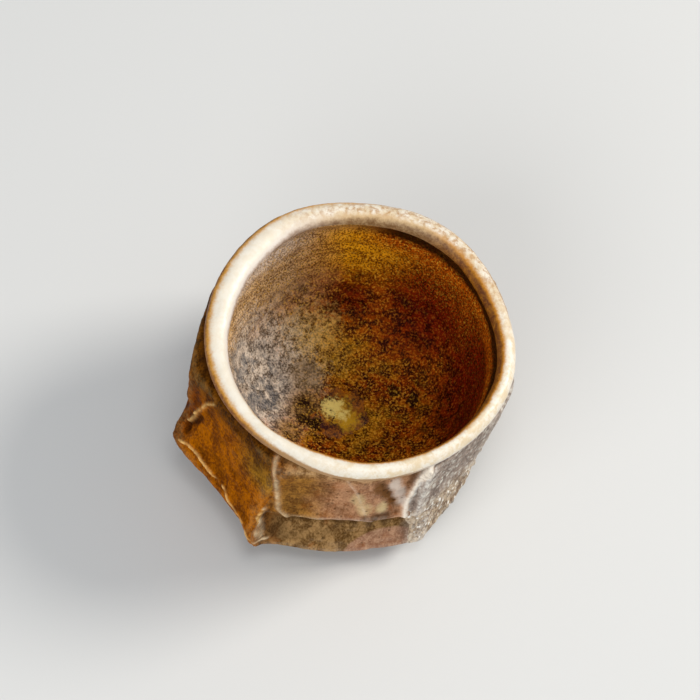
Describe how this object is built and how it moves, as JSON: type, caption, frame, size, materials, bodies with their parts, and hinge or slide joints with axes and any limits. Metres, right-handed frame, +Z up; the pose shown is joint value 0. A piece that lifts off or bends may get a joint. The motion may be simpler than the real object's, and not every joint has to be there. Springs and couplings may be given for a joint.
{
  "type": "sake cup",
  "caption": "Small knife-cut stoneware sake cup with a thick pale lip, an ash-glazed bowl, amber and ash-crusted cut sides, and a turned foot ring to stand on.",
  "frame": {"origin": "middle of the foot ring's lower face, on the table", "axes": "+Z up along the throwing axis, -Y towards the side that the picture shows in front, +X to its right"},
  "size_m": [0.0647, 0.0684, 0.045],
  "materials": {
    "clay": "bare wood-fired stoneware, brown with a pink flush",
    "inner_glaze": "mottled ash glaze, grey-white to amber and red-brown",
    "rim_glaze": "thick satin cream glaze",
    "glaze_pool": "glossy yellow ash glass",
    "amber_glaze": "thin satin amber glaze",
    "ash_crust": "rough grey ash crust with white specks"
  },
  "bodies": {
    "root": {"clay_body": "clay", "foot_ring": "clay", "inner_glaze": "inner_glaze", "rim_glaze": "rim_glaze", "glaze_pool": "glaze_pool", "amber_glaze": "amber_glaze", "ash_crust": "ash_crust"}
  },
  "joints": []
}
